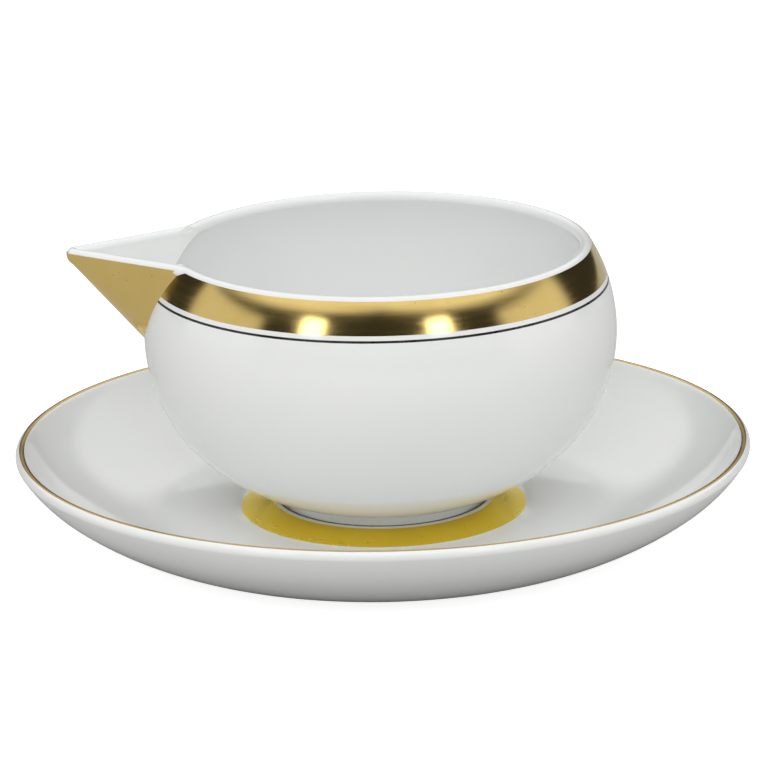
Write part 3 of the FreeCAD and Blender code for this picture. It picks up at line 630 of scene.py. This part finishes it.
@dataclass
class Boat:
    """Round-bellied boat with a drawn-out spout, a gold band and a black line under its lip."""

    base_z: float = 8.0
    belly_z: float = 52.65
    shoulder_x: float = 17.85         # centres and radii of the outer wall's three curves
    shoulder: float = 41.35
    lower_x: float = 18.36
    lower: float = 40.84
    lower_sweep: float = 49.8
    bottom_x: float = 11.063
    bottom_z: float = 61.289
    bottom: float = 52.15
    wall: float = 3.0
    rim_z: float = 73.8               # middle of the round lip
    foot_out: float = 25.3
    foot_in: float = 21.7
    foot_round: float = 0.6
    reach: float = 80.3               # axis to where the spout's two sides would meet
    half_angle: float = 33.9
    keel_reach: float = 78.75         # axis to where the keel would meet the rim's level
    keel_slope: float = 1.11
    nose: float = 3.0
    nose_start: float = -76.2         # first section of the spout behind its ball nose
    root: float = -41.4               # last sections of spout and channel, inside the bowl
    channel_root: float = -41.0
    channel_start: float = 6.0        # first section of the channel, from the keel's end
    channel_heart: float = 0.3        # share of each section round its middle that doesn't flare
    over: float = 4.0                 # how far cutting forms stand over the rim
    corner: float = 13.5              # lip's middle line where spout and bowl meet
    tip: float = 1.6                  # and round the tip
    mouth_round: float = 14.0         # channel's edge towards the bowl
    mouth_run: float = 4.5            # how far before that edge the rounding starts
    mouth_side: float = -46.3         # where the channel's sides and its keel reach the bowl's wall
    mouth_keel: float = -56.0
    mouth_turn: float = 0.68          # share of the rounding's radius before it runs on straight
    mouth_flare: float = 0.9          # and how steeply it then opens
    band: tuple[float, float] = (74.45, 66.95)
    line: tuple[float, float] = (65.85, 65.30)
    gold_top: float = 74.3            # upper edge of the spout's gold, on the side of its lip
    layer: float = 0.12
    proud: float = 0.02               # how far the layers stand out, and the spout's gold
    spout_proud: float = 0.06
    lead: float = 4.0                 # degrees of the bowl's lip that the spout's lip starts in
    steps: int = 320
    section: int = 160                # edges round a section of the spout, and sections along it
    lengths: int = 48
    pieces: list[bpy.types.Object] = field(default_factory=list)

    @property
    def rim_angle(self) -> float:
        """Degrees of the shoulder's curve from the belly to the lip."""
        return math.degrees(math.asin((self.rim_z - self.belly_z) / (self.shoulder - self.wall / 2)))

    @property
    def rim_radius(self) -> float:
        """Radius of the lip's middle line."""
        return self.shoulder_x + (self.shoulder - self.wall / 2) * math.cos(math.radians(self.rim_angle))

    def foot_level(self, x: float) -> float:
        """Level of the lowest wall curve at a distance from the axis."""
        return self.bottom_z - math.sqrt(self.bottom**2 - (x - self.bottom_x) ** 2)

    def bottom_turn(self, x: float) -> float:
        """Degrees of the lowest wall curve from straight down to a distance from the axis."""
        return math.degrees(math.asin((x - self.bottom_x) / self.bottom))

    def on_shoulder(self, radius: float, level: float) -> tuple[float, float]:
        """Point at a level on a curve about the shoulder's centre."""
        return self.shoulder_x + math.sqrt(radius**2 - (level - self.belly_z) ** 2), level

    def rise(self, radius: float, level: float) -> float:
        """Degrees of a curve about the shoulder's centre from the belly up to a level."""
        return math.degrees(math.asin((level - self.belly_z) / radius))

    def wide(self, station: float) -> float:
        """Half the spout's width at a place along X."""
        return (self.reach + station) * math.tan(math.radians(self.half_angle))

    def deep(self, station: float) -> float:
        """Depth of the spout's keel under the rim at a place along X."""
        return (self.keel_reach + station) * self.keel_slope

    def outer_wall(self) -> Outline:
        """Draw the outside from the axis under the foot up to the lip."""
        r = self.foot_round
        pen = Outline(0, self.bottom_z - self.bottom)
        pen.line(self.bottom_x, self.bottom_z - self.bottom, 4)
        pen.arc(self.bottom_x, self.bottom_z, -self.bottom_turn(self.foot_in), 6)
        pen.line(self.foot_in, self.base_z + r)
        pen.arc(self.foot_in + r, self.base_z + r, -90, 5)
        pen.line(self.foot_out - r, self.base_z)
        pen.arc(self.foot_out - r, self.base_z + r, -90, 5)
        pen.line(self.foot_out, self.foot_level(self.foot_out))
        pen.arc(self.bottom_x, self.bottom_z,
                -(90 - self.lower_sweep - self.bottom_turn(self.foot_out)), 14)
        pen.arc(self.lower_x, self.belly_z, -self.lower_sweep, 26)
        pen.arc(self.shoulder_x, self.belly_z, -self.rim_angle, 20)
        return pen

    def inner_wall(self, pen: Outline) -> Outline:
        """Run on from the lip's inner edge down to the axis.

        Args:
            pen: Outline that has reached the lip's inner edge.

        Returns:
            The same outline.
        """
        pen.arc(self.shoulder_x, self.belly_z, self.rim_angle, 20)
        pen.arc(self.lower_x, self.belly_z, self.lower_sweep, 26)
        pen.arc(self.bottom_x, self.bottom_z, 90 - self.lower_sweep, 16)
        pen.line(0, self.bottom_z - self.bottom + self.wall, 4)
        return pen

    def bowl(self) -> bmesh.types.BMesh:
        """Turn the bowl's wall with its foot and its round lip."""
        pen = self.outer_wall()
        pen.arc(self.rim_radius, self.rim_z, -180, 20)
        return self.inner_wall(pen).turned(self.steps)

    def block(self, inside: float) -> bmesh.types.BMesh:
        """Turn everything inside the bowl's outer face.

        Args:
            inside: How far inside the outer face the block ends, in millimetres.

        Returns:
            The block, carried up past the lip.
        """
        radius = self.shoulder - inside
        top = self.rim_z + 1.5 * self.over
        middle = self.belly_z - 30        # on the axis, above the curve's lowest point
        pen = Outline(0, middle)
        pen.line(self.lower_x, self.belly_z - self.lower + inside)
        pen.arc(self.lower_x, self.belly_z, -90, 40)
        pen.arc(self.shoulder_x, self.belly_z, -self.rise(radius, self.rim_z), 24)
        pen.line(self.on_shoulder(radius, self.rim_z)[0] - 0.05, top)
        pen.line(0, top)
        pen.line(0, middle)
        return pen.turned(self.steps)

    def spout(self, inset: float, start: float, end: float, top: float) -> bmesh.types.BMesh:
        """Draw out the spout between two upright sections, round below and flat on top.

        Args:
            inset: How far inside the outer face the form lies, in millimetres.
            start: First section's place along X.
            end: Last section's place along X.
            top: Level of the flat top.

        Returns:
            The closed form, divided lengthwise.
        """
        mesh = bmesh.new()
        for station in (start, end):
            wide = self.wide(station) - inset / math.cos(math.radians(self.half_angle))
            deep = self.deep(station) - inset * math.hypot(1, self.keel_slope)
            ring = bmesh.ops.create_circle(mesh, cap_ends=True, segments=self.section, radius=1.0)["verts"]
            stand = Matrix(((0, 0, 1, station), (0, wide, 0, 0), (deep, 0, 0, self.rim_z), (0, 0, 0, 1)))
            bmesh.ops.transform(mesh, verts=ring, matrix=Matrix.Scale(MM, 4) @ stand)
            for vert in ring:
                if vert.co.z > (self.rim_z + 0.001) * MM:
                    vert.co.z = top * MM
        long = bmesh.ops.bridge_loops(mesh, edges=mesh.edges[:])["edges"]
        bmesh.ops.subdivide_edges(mesh, edges=long, cuts=self.lengths - 1, use_grid_fill=True)
        bmesh.ops.recalc_face_normals(mesh, faces=mesh.faces)
        return mesh

    def ball(self, inset: float, top: float) -> bmesh.types.BMesh:
        """Make the ball nose up to a level.

        Args:
            inset: How far inside the outer face it lies, in millimetres.
            top: Level of its flat top, at most a millimetre over the rim.

        Returns:
            The part ball, closed on top.
        """
        mesh = bmesh.new()
        bmesh.ops.create_uvsphere(mesh, u_segments=96, v_segments=48, radius=(self.nose - inset) * MM)
        middle = self.nose / math.sin(math.radians(self.half_angle)) - self.reach
        bmesh.ops.translate(mesh, verts=mesh.verts, vec=(middle * MM, 0, self.rim_z * MM))
        cut = bmesh.ops.bisect_plane(
            mesh, geom=mesh.verts[:] + mesh.edges[:] + mesh.faces[:],
            plane_co=(0, 0, min(top, self.rim_z + 1) * MM), plane_no=UP, clear_outer=True,
        )
        edges = [part for part in cut["geom_cut"] if isinstance(part, bmesh.types.BMEdge)]
        bmesh.ops.holes_fill(mesh, edges=edges)
        bmesh.ops.recalc_face_normals(mesh, faces=mesh.faces)
        return mesh

    def nosed(self, inset: float, top: float) -> bmesh.types.BMesh:
        """Spout form with its ball nose.

        Args:
            inset: How far inside the outer face it lies, in millimetres.
            top: Level of its flat top.

        Returns:
            The closed form.
        """
        return combined(self.spout(inset, self.nose_start, self.root, top), ("UNION", self.ball(inset, top)))

    def channel(self) -> bmesh.types.BMesh:
        """Hollow of the spout, open above and flaring where it breaks into the bowl."""
        mesh = self.spout(self.wall, self.channel_start - self.keel_reach, self.channel_root,
                          self.rim_z + self.over)
        for vert in mesh.verts:
            station, across = vert.co.x / MM, vert.co.y / MM
            down = min(vert.co.z / MM - self.rim_z, 0.0)
            way = Vector((0.0, across / self.wide(station), down / self.deep(station)))
            if way.length < self.channel_heart:
                continue
            way.normalize()
            mouth = self.mouth_side + (self.mouth_keel - self.mouth_side) * way.z**2
            run = station - mouth + self.mouth_run
            if run <= 0:
                continue
            turned = min(run, self.mouth_round * self.mouth_turn)
            out = self.mouth_round - math.sqrt(self.mouth_round**2 - turned**2)
            vert.co += way * (out + (run - turned) * self.mouth_flare) * MM
        return mesh

    def lip(self) -> bmesh.types.BMesh:
        """Round lip of the spout: in from the bowl's lip, round a corner, along, round the tip and back."""
        turn = math.radians(self.half_angle)
        along = Vector((math.cos(turn), math.sin(turn), 0.0))
        outwards = Vector((-math.sin(turn), math.cos(turn), 0.0))
        apex = Vector((self.wall / 2 / math.sin(turn) - self.reach, 0.0, 0.0))
        # the corner's centre lies a corner radius outside both the spout's side and the bowl's lip
        start = apex + outwards * self.corner
        dot = start.dot(along)
        across = self.rim_radius + self.corner
        centre = start + along * (-dot - math.sqrt(dot**2 - start.length_squared + across**2))
        on_side = centre - outwards * self.corner
        tip_centre = apex + Vector((self.tip / math.sin(turn), 0.0, 0.0))
        at_tip = tip_centre + outwards * self.tip
        swing = math.atan2(on_side.y - centre.y, on_side.x - centre.x) - math.atan2(-centre.y, -centre.x)
        swing = math.degrees((swing + math.pi) % math.tau - math.pi)
        begin = math.atan2(centre.y, centre.x) - math.radians(self.lead)
        out = Vector((math.cos(begin), math.sin(begin), 0.0))
        rod = Rod(out * self.rim_radius + UP * self.rim_z, out, self.wall / 2 + self.proud, 36)
        rod.swing(Vector(), self.lead, 4)
        rod.swing(centre, swing, 18)
        rod.run(at_tip - on_side, 20)
        rod.swing(tip_centre, 180 - 2 * self.half_angle, 18)
        rod.run(Vector((on_side.x - at_tip.x, at_tip.y - on_side.y, 0.0)), 20)
        rod.swing(Vector((centre.x, -centre.y, 0.0)), swing, 18)
        rod.swing(Vector(), self.lead, 4)
        return rod.closed()

    def wall_layer(self, top: float, low: float) -> bmesh.types.BMesh:
        """Turn a thin layer on the shoulder between two levels.

        Args:
            top: Upper edge's level.
            low: Lower edge's level.

        Returns:
            The closed ring.
        """
        out, deep = self.shoulder + self.proud, self.shoulder - self.layer
        pen = Outline(*self.on_shoulder(out, low))
        pen.arc(self.shoulder_x, self.belly_z, self.rise(out, low) - self.rise(out, top), 10)
        pen.line(*self.on_shoulder(deep, top))
        pen.arc(self.shoulder_x, self.belly_z, self.rise(deep, top) - self.rise(deep, low), 10)
        pen.line(*self.on_shoulder(out, low))
        return pen.turned(self.steps)

    def build(self) -> None:
        """Model and dress the casting and its fired bands."""
        high = self.rim_z + self.over
        spout = combined(self.nosed(0.0, self.rim_z), ("DIFFERENCE", self.block(self.wall / 2)))
        body = combined(self.bowl(), ("UNION", spout), ("DIFFERENCE", self.channel()), ("UNION", self.lip()))
        casting = piece("boat_casting", body)
        dress(casting, BOAT_WHITE.material(), Body.BOAT, Slot.BOAT_PORCELAIN, "boat_body")
        gold, black = BRIGHT_GOLD.material(), LINE_BLACK.material()
        ring = combined(self.wall_layer(*self.band), ("DIFFERENCE", self.nosed(0.0, high)))
        band = piece("boat_band_gold", ring)
        dress(band, gold, Body.BOAT, Slot.GOLD, "boat_gold_band")
        ring = combined(self.wall_layer(*self.line), ("DIFFERENCE", self.nosed(0.0, high)))
        line = piece("boat_line_black", ring)
        dress(line, black, Body.BOAT, Slot.BLACK, "boat_black_line")
        skin = combined(self.nosed(-self.spout_proud, self.gold_top),
                        ("DIFFERENCE", self.nosed(self.layer, high)), ("DIFFERENCE", self.block(0.0)))
        nose = piece("boat_spout_gold_skin", skin)
        dress(nose, gold, Body.BOAT, Slot.GOLD, "boat_spout_gold")
        self.pieces = [casting, band, line, nose]


# ---------------------------------------------------------------- studio


@dataclass(frozen=True)
class Panel:
    """One light panel of the room, as seen from the ware, with soft edges."""

    azimuth: float                    # degrees from the camera's side, positive towards +X
    width: float
    low: float                        # degrees above the table
    high: float
    strength: float
    edge: float = 6.0                 # degrees over which it fades


@dataclass(frozen=True)
class Fill:
    """One soft box that lights the ware without showing in its gloss."""

    place: tuple[float, float, float]  # metres
    size: float                        # metres
    power: float                       # watts


@dataclass
class Studio:
    """White table, a room of soft light panels, and the camera."""

    panels: tuple[Panel, ...] = (
        Panel(-87, 46, -8, 26, 0.70),
        Panel(87, 45, -8, 27, 0.76, 9.0),
        Panel(-36, 12, 21, 33, 4.5, 5.0),
        Panel(31, 12, 21, 33, 4.5, 5.0),
    )
    fills: tuple[Fill, ...] = (
        Fill((-1.3, -0.5, 0.45), 0.8, 1.9),
        Fill((1.3, -0.5, 0.45), 0.8, 1.7),
        Fill((0.0, -1.5, 0.75), 1.0, 9.6),
    )
    ceiling_low: float = 39.0         # degrees where the ceiling's light begins, straight ahead
    ceiling_high: float = 46.0
    ceiling_fall: float = 0.13        # how much lower it begins for each degree aside
    ceiling: float = 1.0
    dim: float = 0.035
    distance: float = 1200.0
    elevation: float = 16.26
    look_at: Vector = field(default_factory=lambda: Vector((0.0, 0.0, 42.0)))
    aim_right: float = 0.60           # mm; where the picture's middle lies beside and below the look-at
    aim_down: float = 3.49
    roll: float = 1.09
    focal: float = 223.9
    table_half: float = 3.0           # metres
    table_glow: float = 0.86          # added to what the camera sees of the table

    def build(self) -> None:
        """Make the room, the table and the camera."""
        bpy.context.scene.view_settings.view_transform = "Standard"
        self.room()
        self.fill_lights()
        self.table()
        self.camera()

    def room(self) -> None:
        """World light: a bright ceiling, side panels and two narrow soft boxes in front of dim walls."""
        world = bpy.data.worlds.new("soft studio")
        bpy.context.scene.world = world
        world.use_nodes = True
        tree = world.node_tree
        tree.nodes.clear()
        way = add(tree, "ShaderNodeTexCoord").outputs["Generated"]
        parts = add(tree, "ShaderNodeSeparateXYZ", {"Vector": way}).outputs
        height = add(tree, "ShaderNodeMath", {0: parts["Z"]}, operation="ARCSINE").outputs[0]
        back = add(tree, "ShaderNodeMath", {0: parts["Y"], 1: -1.0}, operation="MULTIPLY").outputs[0]
        side = add(tree, "ShaderNodeMath", {0: parts["X"], 1: back}, operation="ARCTAN2").outputs[0]
        aside = add(tree, "ShaderNodeMath", {0: side}, operation="ABSOLUTE").outputs[0]
        over = add(tree, "ShaderNodeMath", {0: aside, 1: self.ceiling_fall, 2: height},
                   operation="MULTIPLY_ADD").outputs[0]
        light = add(tree, "ShaderNodeMapRange", {
            "Value": over, "From Min": math.radians(self.ceiling_low),
            "From Max": math.radians(self.ceiling_high), "To Min": self.dim, "To Max": self.ceiling,
        }, interpolation_type="SMOOTHSTEP").outputs[0]
        for panel in self.panels:
            across = self.window(tree, side, panel.azimuth - panel.width / 2, panel.azimuth + panel.width / 2,
                                 panel.edge)
            upright = self.window(tree, height, panel.low, panel.high, panel.edge)
            shape = add(tree, "ShaderNodeMath", {0: across, 1: upright}, operation="MULTIPLY").outputs[0]
            light = add(tree, "ShaderNodeMath", {0: shape, 1: panel.strength, 2: light},
                        operation="MULTIPLY_ADD").outputs[0]
        shown = add(tree, "ShaderNodeBackground", {"Color": (1.0, 1.0, 1.0, 1.0), "Strength": light})
        add(tree, "ShaderNodeOutputWorld", {"Surface": shown.outputs[0]})

    def fill_lights(self) -> None:
        """Large soft boxes that only brighten the white ware."""
        for number, fill in enumerate(self.fills, start=1):
            lamp = bpy.data.lights.new(f"fill_{number}", "AREA")
            lamp.size = fill.size
            lamp.energy = fill.power
            made = bpy.data.objects.new(lamp.name, lamp)
            made.location = fill.place
            made.rotation_euler = Vector(fill.place).to_track_quat("Z", "Y").to_euler()
            made.visible_glossy = False
            bpy.context.scene.collection.objects.link(made)

    def window(
        self, tree: bpy.types.NodeTree, angle: bpy.types.NodeSocket, low: float, high: float, edge: float
    ) -> bpy.types.NodeSocket:
        """One where an angle lies between two limits, fading out past them.

        Args:
            tree: World's node tree.
            angle: The angle in radians.
            low: Lower limit in degrees.
            high: Upper limit in degrees.
            edge: Degrees of fade at each limit.

        Returns:
            The share, from nil to one.
        """
        rise = add(tree, "ShaderNodeMapRange", {
            "Value": angle, "From Min": math.radians(low - edge / 2),
            "From Max": math.radians(low + edge / 2),
        }, interpolation_type="SMOOTHSTEP").outputs[0]
        fall = add(tree, "ShaderNodeMapRange", {
            "Value": angle, "From Min": math.radians(high + edge / 2),
            "From Max": math.radians(high - edge / 2),
        }, interpolation_type="SMOOTHSTEP").outputs[0]
        return add(tree, "ShaderNodeMath", {0: rise, 1: fall}, operation="MULTIPLY").outputs[0]

    def table(self) -> None:
        """Large white table top, lit brighter to the eye than it lights the ware."""
        mesh = bmesh.new()
        bmesh.ops.create_grid(mesh, x_segments=2, y_segments=2, size=self.table_half)
        top = piece("table_top", mesh)
        material, tree, _ = new_material("laminate, white, matt")
        seen = add(tree, "ShaderNodeLightPath").outputs["Is Camera Ray"]
        matt = add(tree, "ShaderNodeBsdfDiffuse", {"Color": colour("#C4C4C2")})
        glow = add(tree, "ShaderNodeEmission", {"Color": colour("#FFFFFF"), "Strength": self.table_glow})
        lit = add(tree, "ShaderNodeAddShader", {0: matt.outputs[0], 1: glow.outputs[0]})
        mixed = add(tree, "ShaderNodeMixShader", {0: seen, 1: matt.outputs[0], 2: lit.outputs[0]})
        close_material(tree, mixed)
        top.data.materials.append(material)

    def camera(self) -> None:
        """Camera in front of the ware, a little above it, with a long lens."""
        rise = math.radians(self.elevation)
        place = self.look_at + Vector((0.0, -math.cos(rise), math.sin(rise))) * self.distance
        ahead = (self.look_at - place).normalized()
        right = ahead.cross(UP).normalized()
        above = right.cross(ahead)
        aim = self.look_at + right * self.aim_right - above * self.aim_down
        ahead = (aim - place).normalized()
        right = ahead.cross(UP).normalized()
        above = right.cross(ahead)
        tilt = math.radians(self.roll)
        right, above = (right * math.cos(tilt) - above * math.sin(tilt),
                        above * math.cos(tilt) + right * math.sin(tilt))
        lens = bpy.data.cameras.new("camera")
        lens.lens = self.focal
        lens.sensor_width = 36.0
        lens.clip_end = 20.0
        made = bpy.data.objects.new("camera", lens)
        bpy.context.scene.collection.objects.link(made)
        turn = Matrix((right, above, -ahead)).transposed().to_4x4()
        made.matrix_world = Matrix.Translation(place * MM) @ turn
        bpy.context.scene.camera = made


# ---------------------------------------------------------------- putting it together


def main() -> None:
    """Build the sub-assemblies in order, then the studio."""
    logging.basicConfig(level=logging.INFO, format="%(message)s")
    for part in (Saucer(), Boat()):
        part.build()
        LOG.info("%s: %d pieces", type(part).__name__, len(part.pieces))
    Studio().build()


if __name__ == "__main__":
    main()
